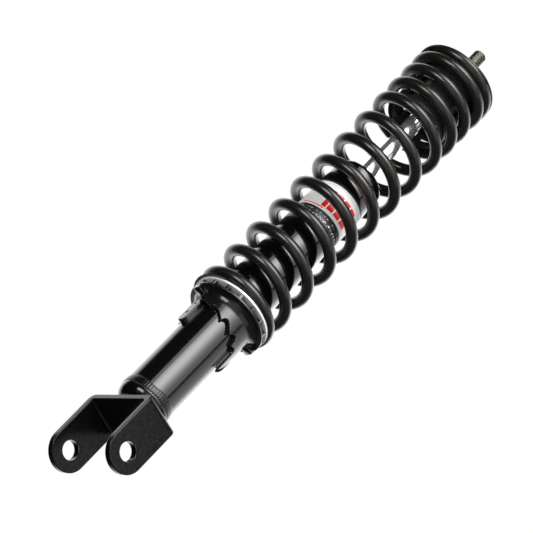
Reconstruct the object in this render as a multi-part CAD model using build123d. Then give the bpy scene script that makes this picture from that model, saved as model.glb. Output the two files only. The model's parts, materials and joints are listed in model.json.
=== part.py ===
"""Rear coil-over strut of a light two-wheeler, in millimetres.

Frame: the origin is the centre of the clevis cross-bore, +X runs along that bore, and +Z runs up the
strut to the threaded stud. Each function makes one piece, and the last lines write one STEP per piece.
"""
from build123d import *
import math
import os

# ---- driving dimensions -------------------------------------------------------------------------
STRUT_LENGTH = 360.6        # bore centre to the tip of the stud
ROD_DIAMETER = 10.0
STUD_DIAMETER = 8.0
STUD_SHANK_DIAMETER = 8.4   # plain part that the seat sits on
STROKE = 60.0               # full bump travel of the rod

CLEVIS_WIDTH = 53.8         # over both ears
CLEVIS_PLATE = 4.0
CLEVIS_DEPTH = 25.0
CLEVIS_HOLE = 11.0
CLEVIS_BASE_TOP = 32.6
CLEVIS_BEND_OUTER = 4.5
CLEVIS_BEND_INNER = 1.5
CLEVIS_EDGE_ROUND = 0.7

TUBE_RADIUS = 15.7
TUBE_WALL = 2.0
TUBE_FOOT = 42.0            # seam between the dished cup and the tube
TUBE_TOP = 240.0
CUP_CORNER = 8.0
TUBE_LIP_ROUND = 3.0

LUG_ANGLE = -96.0           # of the first preload lug, the other is opposite
LUG_WIDTH = 7.0
LUG_RADIUS = 18.7
LUG_FOOT = 89.5
LUG_TOP = 106.8
LUG_ROUND = 3.0

LABEL_FOOT = 186.0
LABEL_TOP = 220.0
LABEL_THICKNESS = 0.15
LABEL_ARC = 250.0

COLLAR_BORE = 16.0
COLLAR_RADIUS = 18.5
COLLAR_TOP = 118.3
FLANGE_RADIUS = 24.4
FLANGE_FOOT = 114.2
FLANGE_PLATE = 1.2
FLANGE_RIBS = 16
SPANNER_TAB_ANGLE = 78.0
# The stepped cam, notch by notch, as degrees past the lug and height of the edge. The last stretch is the
# stop tooth, which stands on one side only.
CAM_NOTCHES = (
    ((-15.0, 102.0), (-12.5, 105.2), (-8.0, 107.1), (8.0, 107.1), (18.0, 106.2), (26.0, 105.0), (32.0, 104.3)),
    ((32.0, 104.3), (36.0, 105.6), (43.0, 105.8), (50.0, 104.8), (58.0, 102.9), (65.0, 101.0)),
    ((65.0, 101.0), (69.0, 103.3), (75.0, 103.9), (82.0, 102.6), (90.0, 100.2), (95.0, 98.6)),
    ((95.0, 98.6), (100.0, 101.1), (107.0, 101.8), (113.0, 99.4), (118.0, 96.6)),
    ((118.0, 96.6), (121.0, 97.6), (127.0, 97.4), (132.0, 96.0)),
    ((132.0, 82.5), (138.0, 85.2), (147.0, 91.0), (156.0, 97.0), (165.0, 102.0)),
)

WASHER_FOOT = 118.5
WASHER_TOP = 119.7
WASHER_RADIUS = 24.6

SPRING_FOOT = 119.9         # ground lower face
SPRING_TOP = 333.3          # ground upper face
WIRE_DIAMETER = 6.9
SPRING_RADIUS = 22.9        # to the wire's centre
SPRING_ANGLE = -26.6        # where turn 0 is counted from
# Wire centre height at each turn, from the closed foot through the open turns to the closed top.
SPRING_RISE = (
    (-0.90, 118.0), (-0.60, 119.6), (-0.30, 121.6), (0.0, 124.1), (0.25, 127.2), (0.5, 131.6),
    (0.75, 136.7), (1.0, 142.1), (2.0, 162.5), (3.0, 183.7), (4.0, 204.2), (5.0, 224.9),
    (6.0, 245.5), (7.0, 265.9), (8.0, 285.4), (9.0, 300.1), (10.0, 313.1), (10.75, 323.4),
    (11.17, 326.9), (11.6, 329.6), (12.0, 333.0), (12.17, 334.4),
)
POINTS_PER_TURN = 16

SEAT_FOOT = 333.5
SEAT_TOP = 335.2
SEAT_RADIUS = 26.0
GUIDE_RADIUS = 18.7         # windowed sleeve inside the top turns
GUIDE_BORE = 16.4
GUIDE_FOOT = 294.0
GUIDE_SLOTS = 4
GUIDE_SLOT_WIDTH = 9.5
GUIDE_SLOT_FOOT = 297.5
GUIDE_SLOT_TOP = 318.0
GUIDE_HOLE = 7.0
GUIDE_HOLE_HEIGHT = 302.0

BUMP_FOOT = 306.0
BUMP_TOP = 331.0
BUMP_RADIUS = 13.5

BORE_TUBE_RADIUS = 10.5     # bore of the inner pressure tube
BORE_TUBE_WALL = 1.0
GUIDE_BODY_FOOT = 222.0     # underside of the rod guide's flange
GUIDE_BODY_TOP = 231.8
PISTON_FOOT = 176.0
PISTON_TOP = 186.0
ROD_SPIGOT = 7.0
ROD_FOOT = 168.5
RUNNING_FIT = 0.04          # radial gap of the rod in its bush and seals

ROD_RADIUS = ROD_DIAMETER / 2
STUD_RADIUS = STUD_DIAMETER / 2
SHANK_RADIUS = STUD_SHANK_DIAMETER / 2
TUBE_BORE = TUBE_RADIUS - TUBE_WALL
SPIGOT_RADIUS = ROD_SPIGOT / 2


# ---- helpers ------------------------------------------------------------------------------------
def ring(inner, outer, foot, top):
    """A plain ring, or a disc where inner is 0."""
    body = Pos(0, 0, (foot + top) / 2) * Cylinder(outer, top - foot)
    if inner > 0:
        body -= Pos(0, 0, (foot + top) / 2) * Cylinder(inner, top - foot + 1)
    return body


def turned(*points):
    """A closed outline of (radius, height) points turned about Z."""
    outline = Polyline(*[(r, 0, z) for r, z in points], close=True)
    return revolve(make_face(outline), Axis.Z)


def around(body, count, start=0.0):
    """Copies of a body spaced evenly about Z."""
    return [Rot(0, 0, start + i * 360 / count) * body for i in range(count)]


def drilled(body, radius, pitch_radius, count, height, depth):
    """Body with a circle of through holes along Z."""
    hole = Pos(pitch_radius, 0, height) * Cylinder(radius, depth)
    return body - around(hole, count)


def single(shape):
    """The one solid of a shape that booleans may have left in a group."""
    return shape.solids()[0]


# ---- damper body --------------------------------------------------------------------------------
def clevis_fork():
    """Bent U of plate: two ears with round ends and a cross-bore, and a base that the tube stands on."""
    half = CLEVIS_WIDTH / 2
    inner_half = half - CLEVIS_PLATE
    ear_round = CLEVIS_DEPTH / 2
    outer = Pos(0, 0, CLEVIS_BASE_TOP / 2) * Box(CLEVIS_WIDTH, CLEVIS_DEPTH, CLEVIS_BASE_TOP)
    outer += Pos(0, 0, 0) * Rot(0, 90, 0) * Cylinder(ear_round, CLEVIS_WIDTH)
    bends = outer.edges().filter_by(Axis.Y).group_by(Axis.Z)[-1]
    outer = fillet(bends, CLEVIS_BEND_OUTER)
    gap_top = CLEVIS_BASE_TOP - CLEVIS_PLATE
    gap_height = gap_top + 2 * ear_round
    gap = Pos(0, 0, gap_top - gap_height / 2) * Box(2 * inner_half, 2 * CLEVIS_DEPTH, gap_height)
    gap = fillet(gap.edges().filter_by(Axis.Y).group_by(Axis.Z)[-1], CLEVIS_BEND_INNER)
    fork = outer - gap
    fork -= Rot(0, 90, 0) * Cylinder(CLEVIS_HOLE / 2, 2 * CLEVIS_WIDTH)
    sides = [e for e in fork.edges() if abs(e.center().Y) > ear_round - 0.01]
    ends = [
        e for e in fork.edges().filter_by(GeomType.CIRCLE)
        if abs(e.radius - ear_round) < 0.01
    ]
    return single(fillet(sides + ends, CLEVIS_EDGE_ROUND))


def cup_outline(radius, corner, floor, top, start):
    """Quarter-round dish section from the axis side to the rim, as points."""
    steps = 10
    centre_r = radius - corner
    centre_z = floor + corner
    arc = [
        (
            centre_r + corner * math.sin(i * math.pi / 2 / steps),
            centre_z - corner * math.cos(i * math.pi / 2 / steps),
        )
        for i in range(steps + 1)
    ]
    return [(start, floor)] + arc + [(radius, top)]


def tube_base_cup():
    """Dished steel cup that closes the foot of the tube."""
    floor = CLEVIS_BASE_TOP
    outer = cup_outline(TUBE_RADIUS, CUP_CORNER, floor, TUBE_FOOT, 0.0)
    inner = cup_outline(TUBE_BORE, CUP_CORNER - TUBE_WALL, floor + TUBE_WALL, TUBE_FOOT, 0.0)
    return turned(*outer, *reversed(inner))


def clevis_weld_bead():
    """Fillet weld round the foot of the cup, on the clevis plate."""
    inner, outer, height = 9.0, 12.2, 2.2
    bead = turned((inner, CLEVIS_BASE_TOP), (outer, CLEVIS_BASE_TOP), (outer - 0.4, CLEVIS_BASE_TOP + 1.0),
                  (outer - 1.2, CLEVIS_BASE_TOP + height), (inner, CLEVIS_BASE_TOP + height))
    return single(bead - turned(*cup_outline(TUBE_RADIUS, CUP_CORNER, CLEVIS_BASE_TOP, TUBE_FOOT, 0.0),
                                (0.0, TUBE_FOOT)))


def seam_weld_bead():
    """Rolled weld that joins the cup to the tube."""
    above, below, proud = 2.8, 1.4, 0.6
    return turned((TUBE_RADIUS, TUBE_FOOT - below), (TUBE_RADIUS + proud, TUBE_FOOT - below / 2),
                  (TUBE_RADIUS + proud, TUBE_FOOT + above / 2), (TUBE_RADIUS, TUBE_FOOT + above))


def damper_tube():
    """Outer tube, rolled inwards at the top over the gland."""
    lip_radius = 11.0
    steps = 6
    outer_arc = [
        (
            TUBE_RADIUS - TUBE_LIP_ROUND * (1 - math.cos(i * math.pi / 2 / steps)),
            TUBE_TOP - TUBE_LIP_ROUND * (1 - math.sin(i * math.pi / 2 / steps)),
        )
        for i in range(steps + 1)
    ]
    under_lip = TUBE_TOP - TUBE_WALL
    return turned((TUBE_BORE, TUBE_FOOT), (TUBE_RADIUS, TUBE_FOOT), *outer_arc,
                  (lip_radius, TUBE_TOP), (lip_radius, under_lip), (TUBE_BORE, under_lip))


def preload_lugs():
    """Two pads on the tube that the cam collar rests on, each with two pressed dimples."""
    length = LUG_TOP - LUG_FOOT
    depth = 8.0
    pad = Pos(LUG_RADIUS - depth / 2, 0, (LUG_TOP + LUG_FOOT) / 2) * Box(depth, LUG_WIDTH, length)
    pad = fillet(pad.edges().filter_by(Axis.X), LUG_ROUND)
    pad = fillet(pad.faces().sort_by(Axis.X)[-1].edges(), 0.6)
    for share in (0.40, 0.84):
        dimple = Pos(LUG_RADIUS, 0, LUG_FOOT + share * length) * Rot(0, 90, 0) * Cylinder(1.1, 1.6)
        pad -= dimple
    pad = single(pad - ring(0, TUBE_RADIUS, LUG_FOOT - 1, LUG_TOP + 1))
    return around(pad, 2, LUG_ANGLE)


def label_band():
    """Printed label wrapped part of the way round the tube."""
    band = ring(TUBE_RADIUS, TUBE_RADIUS + LABEL_THICKNESS, LABEL_FOOT, LABEL_TOP)
    wedge_reach = 2 * TUBE_RADIUS
    missing = (360 - LABEL_ARC) / 2
    wedge = Polyline((0, 0), (wedge_reach * math.cos(math.radians(missing)), wedge_reach * math.sin(
        math.radians(missing))), (wedge_reach * math.cos(math.radians(missing)), -wedge_reach * math.sin(
            math.radians(missing))), close=True)
    cut = Pos(0, 0, LABEL_FOOT - 1) * extrude(make_face(wedge), LABEL_TOP - LABEL_FOOT + 2)
    back = SPRING_ANGLE + 180
    return single(band - Rot(0, 0, back) * cut)


def pressure_tube():
    """Inner cylinder that the piston runs in."""
    return ring(BORE_TUBE_RADIUS, BORE_TUBE_RADIUS + BORE_TUBE_WALL, 46.0, GUIDE_BODY_FOOT)


def base_valve():
    """Valve body plugged into the foot of the pressure tube, standing in the cup."""
    body = ring(0, 11.5, 40.0, 46.0) + ring(0, BORE_TUBE_RADIUS, 46.0, 50.0) + ring(9.0, 11.2, 36.3, 40.0)
    body -= ring(0, 2.0, 35.0, 51.0)
    slot = Pos(10, 0, 37.0) * Box(6, 4, 4)
    return single(drilled(body - around(slot, 4), 1.3, 6.5, 6, 45.0, 14.0))


def base_valve_disc():
    """Thin spring disc over the base valve's holes."""
    return ring(2.0, 9.0, 50.0, 50.5)


def base_valve_rivet():
    """Rivet that holds the disc on the base valve."""
    return ring(0, 2.0, 38.5, 50.5) + ring(0, 3.4, 50.5, 52.0) + ring(0, 3.4, 38.5, 40.0)


def rod_guide():
    """Sintered guide that centres the rod and the pressure tube."""
    body = ring(0, TUBE_BORE, GUIDE_BODY_FOOT, GUIDE_BODY_TOP)
    body += ring(0, BORE_TUBE_RADIUS - 0.05, GUIDE_BODY_FOOT - 4.0, GUIDE_BODY_FOOT)
    body -= ring(0, 5.8, GUIDE_BODY_FOOT - 5.0, GUIDE_BODY_TOP + 1)
    return single(drilled(body, 1.0, 12.6, 4, GUIDE_BODY_TOP, 30.0))


def guide_bush():
    """Lined bush in the rod guide."""
    return ring(ROD_RADIUS + RUNNING_FIT, 5.8, GUIDE_BODY_FOOT - 4.0, GUIDE_BODY_TOP)


def oil_seal():
    """Moulded rubber seal on top of the rod guide."""
    top = GUIDE_BODY_TOP + 4.4
    lip = ROD_RADIUS + RUNNING_FIT
    return turned((lip, GUIDE_BODY_TOP), (TUBE_BORE, GUIDE_BODY_TOP), (TUBE_BORE, top), (8.0, top),
                  (6.6, top - 1.6), (lip, top - 1.2))


def gland_cap():
    """Steel washer that the rolled lip of the tube holds down on the seal."""
    return ring(8.2, TUBE_BORE, GUIDE_BODY_TOP + 4.4, TUBE_TOP - TUBE_WALL)


def dust_wiper():
    """Rubber wiper that hugs the rod in the mouth of the tube."""
    foot = GUIDE_BODY_TOP + 4.4
    lip = ROD_RADIUS + RUNNING_FIT
    return turned((lip + 1.2, foot), (8.2, foot), (8.2, TUBE_TOP), (lip, TUBE_TOP + 1.6), (lip, TUBE_TOP + 0.2))


# ---- preload adjuster ---------------------------------------------------------------------------
def cam_cut(notch):
    """Prism that cuts one notch out of the sleeve, straight in towards the axis."""
    foot = 70.0
    middle = (notch[0][0] + notch[-1][0]) / 2
    edge = [(COLLAR_RADIUS * math.sin(math.radians(a - middle)), z) for a, z in notch]
    outline = Polyline((edge[0][0], foot), *edge, (edge[-1][0], foot), close=True)
    facing = Plane(origin=(0, 0, 0), x_dir=(0, 1, 0), z_dir=(1, 0, 0))
    prism = extrude(facing * make_face(outline), COLLAR_RADIUS + 2)
    return Rot(0, 0, LUG_ANGLE + middle) * prism


def cam_collar():
    """Stepped preload collar: a sleeve whose lower edge is the cam, under a castellated flange."""
    collar = ring(COLLAR_BORE, COLLAR_RADIUS, 80.0, COLLAR_TOP)
    cuts = [cam_cut(notch) for notch in CAM_NOTCHES]
    plain_end = [(angle, CAM_NOTCHES[0][0][1]) for angle, _ in CAM_NOTCHES[-1]]
    far_cuts = [cam_cut(notch) for notch in (*CAM_NOTCHES[:-1], plain_end)]
    collar -= cuts + [Rot(0, 0, 180) * cut for cut in far_cuts]
    root = COLLAR_RADIUS - 0.5
    flare_out, flare_rise = 3.6, 5.8
    collar += turned((root, FLANGE_FOOT - flare_rise), (COLLAR_RADIUS, FLANGE_FOOT - flare_rise),
                     (COLLAR_RADIUS + flare_out / 3, FLANGE_FOOT - flare_rise / 3),
                     (COLLAR_RADIUS + flare_out, FLANGE_FOOT), (FLANGE_RADIUS, FLANGE_FOOT),
                     (FLANGE_RADIUS, FLANGE_FOOT + FLANGE_PLATE), (root, FLANGE_FOOT + FLANGE_PLATE))
    rib_depth, rib_width = 4.5, 1.8
    rib_foot = FLANGE_FOOT + FLANGE_PLATE - 0.2
    rib = Pos(FLANGE_RADIUS - 0.2 - rib_depth / 2, 0, (rib_foot + COLLAR_TOP) / 2) * Box(
        rib_depth, rib_width, COLLAR_TOP - rib_foot)
    collar += around(rib, FLANGE_RIBS, SPRING_ANGLE - 5.0)
    collar += ring(root, FLANGE_RADIUS - 3.5, COLLAR_TOP - 1.0, COLLAR_TOP)
    tab_foot, tab_radius, tab_width = 111.2, 24.2, 6.0
    tab = Pos((root + tab_radius) / 2, 0, (tab_foot + FLANGE_FOOT) / 2 + 0.2) * Box(
        tab_radius - root, tab_width, FLANGE_FOOT - tab_foot + 0.4)
    collar += around(tab, 2, SPANNER_TAB_ANGLE)
    return single(collar)


def thrust_washer():
    """Bright plated washer between the collar and the foot of the spring."""
    return ring(COLLAR_BORE, WASHER_RADIUS, WASHER_FOOT, WASHER_TOP)


# ---- spring -------------------------------------------------------------------------------------
def rise_at(turn):
    """Height of the wire's centre at a turn, by a monotone cubic through SPRING_RISE."""
    turns = [t for t, _ in SPRING_RISE]
    heights = [z for _, z in SPRING_RISE]
    slopes = [(heights[i + 1] - heights[i]) / (turns[i + 1] - turns[i]) for i in range(len(turns) - 1)]
    tangents = [slopes[0]] + [
        2 * a * b / (a + b) for a, b in zip(slopes, slopes[1:])
    ] + [slopes[-1]]
    i = max(0, min(len(slopes) - 1, sum(1 for t in turns[1:] if t < turn)))
    width = turns[i + 1] - turns[i]
    s = (turn - turns[i]) / width
    return (
        (2 * s**3 - 3 * s**2 + 1) * heights[i] + (s**3 - 2 * s**2 + s) * width * tangents[i]
        + (3 * s**2 - 2 * s**3) * heights[i + 1] + (s**3 - s**2) * width * tangents[i + 1]
    )


def coil_spring():
    """Left-hand progressive coil: wide turns, then four closer ones, both ends closed and ground flat."""
    first, last = SPRING_RISE[0][0], SPRING_RISE[-1][0]
    count = round((last - first) * POINTS_PER_TURN)
    points = []
    for i in range(count + 1):
        turn = first + (last - first) * i / count
        angle = math.radians(SPRING_ANGLE - 360 * turn)
        points.append((SPRING_RADIUS * math.cos(angle), SPRING_RADIUS * math.sin(angle), rise_at(turn)))
    path = Spline(*points)
    section = Plane(origin=path @ 0, z_dir=path % 0) * Circle(WIRE_DIAMETER / 2)
    coil = sweep(section, path=path, is_frenet=True)
    return single(coil & ring(0, 2 * SPRING_RADIUS, SPRING_FOOT, SPRING_TOP))


# ---- rod body -----------------------------------------------------------------------------------
def piston_rod():
    """Hard-chromed rod with a threaded stud above its shoulder and a spigot for the piston below."""
    stud_chamfer = 0.8
    spigot_top = PISTON_TOP + 2.5
    clip_foot, clip_top, clip_depth = 208.0, 209.4, 0.6
    return turned((0, ROD_FOOT), (SPIGOT_RADIUS, ROD_FOOT), (SPIGOT_RADIUS, spigot_top), (ROD_RADIUS, spigot_top),
                  (ROD_RADIUS, clip_foot), (ROD_RADIUS - clip_depth, clip_foot),
                  (ROD_RADIUS - clip_depth, clip_top), (ROD_RADIUS, clip_top), (ROD_RADIUS, SEAT_FOOT),
                  (SHANK_RADIUS, SEAT_FOOT), (SHANK_RADIUS, SEAT_TOP), (STUD_RADIUS, SEAT_TOP),
                  (STUD_RADIUS, STRUT_LENGTH - stud_chamfer),
                  (STUD_RADIUS - stud_chamfer, STRUT_LENGTH), (0, STRUT_LENGTH))


def piston():
    """Sintered piston with a ring groove and a circle of oil passages."""
    radius = BORE_TUBE_RADIUS - 0.15
    body = ring(SPIGOT_RADIUS, radius, PISTON_FOOT, PISTON_TOP)
    body -= ring(radius - 1.0, radius + 1, PISTON_FOOT + 3, PISTON_TOP - 3)
    return single(drilled(body, 1.1, 6.8, 6, (PISTON_FOOT + PISTON_TOP) / 2, 20.0))


def piston_ring():
    """Low-friction band in the piston's groove."""
    return ring(BORE_TUBE_RADIUS - 1.15, BORE_TUBE_RADIUS - 0.05, PISTON_FOOT + 3, PISTON_TOP - 3)


def rebound_shims():
    """Thin valve discs under the piston."""
    return ring(SPIGOT_RADIUS, 8.6, PISTON_FOOT - 0.8, PISTON_FOOT)


def compression_shims():
    """Thin valve discs on top of the piston, backed by a washer against the rod's shoulder."""
    return ring(SPIGOT_RADIUS, 8.6, PISTON_TOP, PISTON_TOP + 0.8) + ring(
        SPIGOT_RADIUS, 6.0, PISTON_TOP + 0.8, PISTON_TOP + 2.5)


def piston_nut():
    """Hexagon nut that clamps the piston and its shims."""
    across_flats = 12.0
    foot = ROD_FOOT + 1.0
    height = PISTON_FOOT - 0.8 - foot
    hexagon = extrude(RegularPolygon(across_flats / 2, 6, major_radius=False), height)
    return single(Pos(0, 0, foot) * hexagon - ring(0, SPIGOT_RADIUS, foot - 1, foot + height + 1))


def rebound_stop():
    """Rubber-faced ring on the rod that meets the rod guide at full length."""
    return ring(ROD_RADIUS, 8.5, 209.4, GUIDE_BODY_FOOT - 4.5)


def rebound_stop_clip():
    """Spring clip in the rod's groove under the rebound stop."""
    clip = ring(ROD_RADIUS - 0.6, 6.8, 208.0, 209.4)
    return single(clip - Pos(ROD_RADIUS, 0, 208.7) * Box(6, 2.4, 3))


def bump_stop():
    """Microcellular bump stop on the rod, waisted twice, hidden in the guide sleeve."""
    waist = BUMP_RADIUS - 2.2
    height = BUMP_TOP - BUMP_FOOT
    levels = [(BUMP_RADIUS - 3.5, 0.0), (BUMP_RADIUS - 1.5, 0.14), (waist, 0.32), (BUMP_RADIUS, 0.48),
              (waist, 0.64), (BUMP_RADIUS, 0.82), (BUMP_RADIUS, 1.0)]
    side = [(r, BUMP_FOOT + share * height) for r, share in levels]
    return turned((ROD_RADIUS, BUMP_FOOT), *side, (ROD_RADIUS, BUMP_TOP))


def bump_stop_washer():
    """Steel washer between the bump stop and the guide sleeve's roof."""
    return ring(ROD_RADIUS, 15.0, BUMP_TOP, BUMP_TOP + 1.0)


def spring_guide_sleeve():
    """Moulded sleeve inside the top turns, roofed under the seat, with slots and round windows."""
    roof = BUMP_TOP + 1.0
    sleeve = ring(GUIDE_BORE, GUIDE_RADIUS, GUIDE_FOOT, SEAT_FOOT)
    sleeve += ring(ROD_RADIUS, GUIDE_RADIUS - 0.5, roof, SEAT_FOOT)
    slot_height = GUIDE_SLOT_TOP - GUIDE_SLOT_FOOT
    slot = Pos(GUIDE_RADIUS, 0, (GUIDE_SLOT_TOP + GUIDE_SLOT_FOOT) / 2) * Box(8, GUIDE_SLOT_WIDTH, slot_height)
    slot = fillet(slot.edges().filter_by(Axis.X), 2.0)
    hole = Pos(GUIDE_RADIUS, 0, GUIDE_HOLE_HEIGHT) * Rot(0, 90, 0) * Cylinder(GUIDE_HOLE / 2, 8)
    start = SPRING_ANGLE
    sleeve -= around(slot, GUIDE_SLOTS, start + 45) + around(hole, GUIDE_SLOTS, start)
    return single(sleeve)


def upper_spring_seat():
    """Pressed steel disc on the rod's shoulder that the top of the spring pushes against."""
    seat = ring(SHANK_RADIUS, SEAT_RADIUS, SEAT_FOOT, SEAT_TOP)
    return single(fillet(seat.edges().filter_by(GeomType.CIRCLE).sort_by(SortBy.RADIUS)[-2:], 0.5))


PIECES = (
    clevis_fork, tube_base_cup, clevis_weld_bead, seam_weld_bead, damper_tube, preload_lugs, label_band,
    pressure_tube, base_valve, base_valve_disc, base_valve_rivet, rod_guide, guide_bush, oil_seal, gland_cap,
    dust_wiper, cam_collar, thrust_washer, coil_spring, piston_rod, piston, piston_ring, rebound_shims,
    compression_shims, piston_nut, rebound_stop, rebound_stop_clip, bump_stop, bump_stop_washer,
    spring_guide_sleeve, upper_spring_seat,
)

os.makedirs("parts", exist_ok=True)
for make in PIECES:
    made = make()
    shape = Compound(children=made) if isinstance(made, list) else made
    export_step(shape, f"parts/{make.__name__}.step")
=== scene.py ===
"""Studio scene of a coil-over strut, in metres, in the same frame as its solids.

+Z runs up the strut from the clevis bore to the stud, and +X along the bore. The spring, the rod with its
thread, the stepped collar, the welds and the label are parametric surfaces. The other solids keep their shape.
"""
import json
import logging
import math
from dataclasses import dataclass, field
from enum import Enum
from typing import Callable, Sequence

import bpy
import numpy as np
from mathutils import Matrix, Vector

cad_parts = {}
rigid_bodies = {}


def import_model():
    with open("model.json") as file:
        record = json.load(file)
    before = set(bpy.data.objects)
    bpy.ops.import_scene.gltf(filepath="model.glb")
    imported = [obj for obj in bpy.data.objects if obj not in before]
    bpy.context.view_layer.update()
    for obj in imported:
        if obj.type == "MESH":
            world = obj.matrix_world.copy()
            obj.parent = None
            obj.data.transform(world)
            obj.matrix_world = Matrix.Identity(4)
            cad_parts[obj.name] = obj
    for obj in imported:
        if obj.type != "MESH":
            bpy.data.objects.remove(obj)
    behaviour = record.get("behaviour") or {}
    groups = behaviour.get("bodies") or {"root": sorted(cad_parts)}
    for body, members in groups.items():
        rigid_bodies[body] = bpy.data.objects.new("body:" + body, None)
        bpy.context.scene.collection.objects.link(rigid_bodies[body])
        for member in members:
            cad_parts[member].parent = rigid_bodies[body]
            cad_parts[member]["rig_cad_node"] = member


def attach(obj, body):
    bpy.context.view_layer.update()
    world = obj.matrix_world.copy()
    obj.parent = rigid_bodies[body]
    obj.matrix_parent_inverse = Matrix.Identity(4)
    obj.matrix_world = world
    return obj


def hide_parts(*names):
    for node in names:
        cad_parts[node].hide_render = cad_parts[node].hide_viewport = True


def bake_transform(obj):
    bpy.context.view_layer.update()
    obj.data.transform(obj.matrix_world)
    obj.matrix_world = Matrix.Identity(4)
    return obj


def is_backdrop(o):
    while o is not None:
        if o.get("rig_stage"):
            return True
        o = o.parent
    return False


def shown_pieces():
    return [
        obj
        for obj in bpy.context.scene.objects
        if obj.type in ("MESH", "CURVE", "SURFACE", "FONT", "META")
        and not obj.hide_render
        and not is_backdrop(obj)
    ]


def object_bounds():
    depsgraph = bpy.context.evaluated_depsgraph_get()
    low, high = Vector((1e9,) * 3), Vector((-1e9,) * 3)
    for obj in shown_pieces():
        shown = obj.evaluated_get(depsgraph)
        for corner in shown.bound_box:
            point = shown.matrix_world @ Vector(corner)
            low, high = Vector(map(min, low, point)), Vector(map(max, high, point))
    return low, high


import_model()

CAD_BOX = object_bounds()
LOG = logging.getLogger("strut")
MM = 0.001
TURN = 2 * math.pi
FACING = math.radians(-26.6)     # azimuth of the strut's side that faces the camera


class Body(Enum):
    """The rigid bodies that pieces ride on."""

    DAMPER = "damper"
    WASHER = "washer"
    COLLAR = "collar"
    ROD = "rod"


# ---- surfaces -------------------------------------------------------------------------------------
@dataclass
class Surface:
    """Meshes gathered from closed grids, and made into one object.

    A grid is an array of points by row, column and axis. Columns always close on themselves. Rows close
    too on a ring-shaped grid, and are capped at both ends on an open one.
    """

    name: str
    points: list[np.ndarray] = field(default_factory=list)
    faces: list[np.ndarray] = field(default_factory=list)
    caps: list[list[int]] = field(default_factory=list)
    count: int = 0

    def add(self, grid: np.ndarray, closed_rows: bool = False) -> "Surface":
        """Adds a grid whose columns run anticlockwise seen from the last row.

        Args:
            grid: points of shape rows, columns, 3, in metres.
            closed_rows: True where the last row joins the first.

        Returns:
            This surface, so that calls can follow each other.
        """
        rows, columns = grid.shape[:2]
        index = self.count + np.arange(rows * columns).reshape(rows, columns)
        if closed_rows:
            index = np.vstack([index, index[:1]])
        ring = np.hstack([index, index[:, :1]])
        quads = np.stack([ring[:-1, :-1], ring[:-1, 1:], ring[1:, 1:], ring[1:, :-1]], axis=-1)
        self.faces.append(quads.reshape(-1, 4))
        self.points.append(grid.reshape(-1, 3))
        if not closed_rows:
            self.caps.append(index[0, ::-1].tolist())
            self.caps.append(index[-1].tolist())
        self.count += rows * columns
        return self

    def build(self, sharp_degrees: float = 35.0) -> bpy.types.Object:
        """Makes the object, with smooth faces and sharp edges past an angle.

        Args:
            sharp_degrees: edges bent by more than this stay sharp.

        Returns:
            The new object, at the origin.
        """
        mesh = bpy.data.meshes.new(self.name)
        mesh.from_pydata(np.vstack(self.points), [], np.vstack(self.faces).tolist() + self.caps)
        mesh.polygons.foreach_set("use_smooth", np.ones(len(mesh.polygons), dtype=bool))
        mesh.set_sharp_from_angle(angle=math.radians(sharp_degrees))
        mesh.validate()
        made = bpy.data.objects.new(self.name, mesh)
        bpy.context.scene.collection.objects.link(made)
        return made


def turned(profile: np.ndarray, columns: int, wobble: Callable | None = None) -> np.ndarray:
    """A profile of (radius, height) turned about Z.

    Args:
        profile: points of shape rows, 2.
        columns: number of points round the axis.
        wobble: gives (radius, height) offsets from (angle, radius, height), or None.

    Returns:
        The grid, of shape rows, columns, 3.
    """
    angle = np.linspace(0, TURN, columns, endpoint=False)[None, :]
    radius, height = profile[:, :1] + 0 * angle, profile[:, 1:] + 0 * angle
    if wobble:
        extra_radius, extra_height = wobble(angle, radius, height)
        radius, height = radius + extra_radius, height + extra_height
    return np.stack([radius * np.cos(angle), radius * np.sin(angle), height], axis=-1)


def rounded_box(centre: Sequence[float], size: Sequence[float], turn: float, rounding: float) -> np.ndarray:
    """A box with chamfered edges, as a stack of eight-sided rings, turned about the Z axis.

    Args:
        centre: the centre before it is turned, in metres.
        size: lengths along X, Y and Z.
        turn: angle about the strut's axis, in radians.
        rounding: width of the chamfers.

    Returns:
        The grid, of shape rows, 8, 3.
    """
    half = np.array(size) / 2
    levels = np.array([
        [-half[2], rounding], [-half[2] + rounding, 0], [half[2] - rounding, 0], [half[2], rounding],
    ])
    rings = []
    for height, inset in levels:
        x, y, cut = half[0] - inset, half[1] - inset, rounding
        corners = [(x, -y + cut), (x, y - cut), (x - cut, y), (-x + cut, y),
                   (-x, y - cut), (-x, -y + cut), (-x + cut, -y), (x - cut, -y)]
        rings.append([(px, py, height) for px, py in corners])
    grid = np.array(rings) + np.array(centre)
    c, s = math.cos(turn), math.sin(turn)
    return grid @ np.array([[c, s, 0], [-s, c, 0], [0, 0, 1]])


def smooth_curve(knots: Sequence[tuple[float, float]], places: np.ndarray) -> np.ndarray:
    """A monotone cubic through knots, so that it never swings past them.

    Args:
        knots: (place, value) in rising order of place.
        places: where the curve is read.

    Returns:
        The values at those places.
    """
    x, y = np.array(knots).T
    slope = np.diff(y) / np.diff(x)
    tangent = np.concatenate([[slope[0]], 2 * slope[:-1] * slope[1:] / (slope[:-1] + slope[1:]), [slope[-1]]])
    i = np.clip(np.searchsorted(x, places, side="right") - 1, 0, len(slope) - 1)
    width = x[i + 1] - x[i]
    s = (places - x[i]) / width
    return (
        (2 * s**3 - 3 * s**2 + 1) * y[i] + (s**3 - 2 * s**2 + s) * width * tangent[i]
        + (3 * s**2 - 2 * s**3) * y[i + 1] + (s**3 - s**2) * width * tangent[i + 1]
    )


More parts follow.
